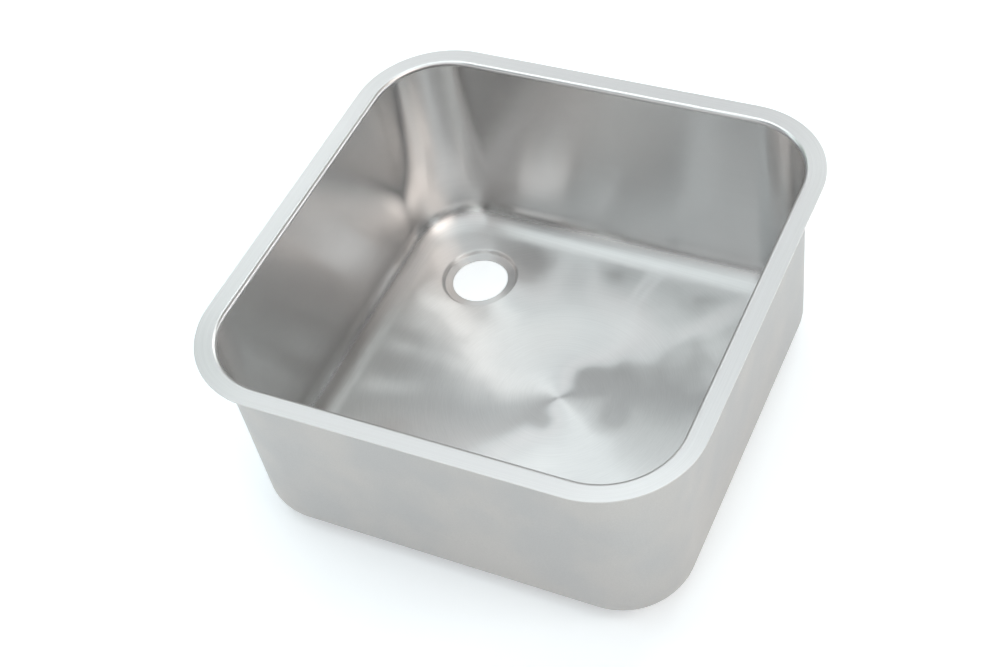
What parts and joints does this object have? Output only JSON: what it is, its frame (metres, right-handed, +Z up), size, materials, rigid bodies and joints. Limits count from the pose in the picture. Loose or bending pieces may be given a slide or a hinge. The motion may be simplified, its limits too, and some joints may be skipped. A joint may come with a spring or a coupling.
{
  "type": "undermount kitchen sink",
  "caption": "Square deep-drawn stainless sink bowl with a narrow flat flange, a rolled edge, an offset recessed waste hole and a sound-deadening pad under its base.",
  "frame": {"origin": "on the floor under the middle of the sink, which stands on its pad", "axes": "+Z up out of the bowl, +X right and +Y back, with the waste hole back left at -X +Y"},
  "size_m": [0.434, 0.434, 0.2012],
  "materials": {
    "stainless_sheet": "satin, linished along the flange",
    "pad_rubber": "matt, fine woven-cloth texture"
  },
  "bodies": {
    "root": {"bowl": "stainless_sheet", "sound_pad": "pad_rubber"}
  },
  "joints": []
}
